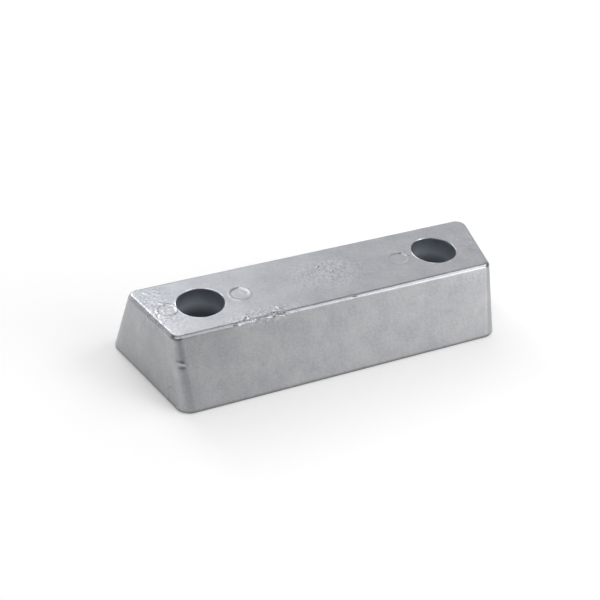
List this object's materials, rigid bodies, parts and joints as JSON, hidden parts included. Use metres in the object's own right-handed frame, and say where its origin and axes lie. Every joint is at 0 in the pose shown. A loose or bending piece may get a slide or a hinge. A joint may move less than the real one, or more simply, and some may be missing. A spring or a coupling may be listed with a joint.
{
  "type": "sacrificial anode",
  "caption": "Bar-shaped cast sacrificial anode with tapered sides, splayed ends and counterbored bolt holes, fastened flat to a hull or transom.",
  "frame": {"origin": "middle of the flat mounting face, midway between the two bolt holes", "axes": "+X along the bar through both bolt holes, +Y towards the longer rear edge, +Z out of the mounting face towards the bolt heads"},
  "size_m": [0.1546, 0.0538, 0.029],
  "materials": {
    "cast_zinc": "satin as-cast"
  },
  "bodies": {
    "root": {"anode_bar": "cast_zinc"}
  },
  "joints": []
}
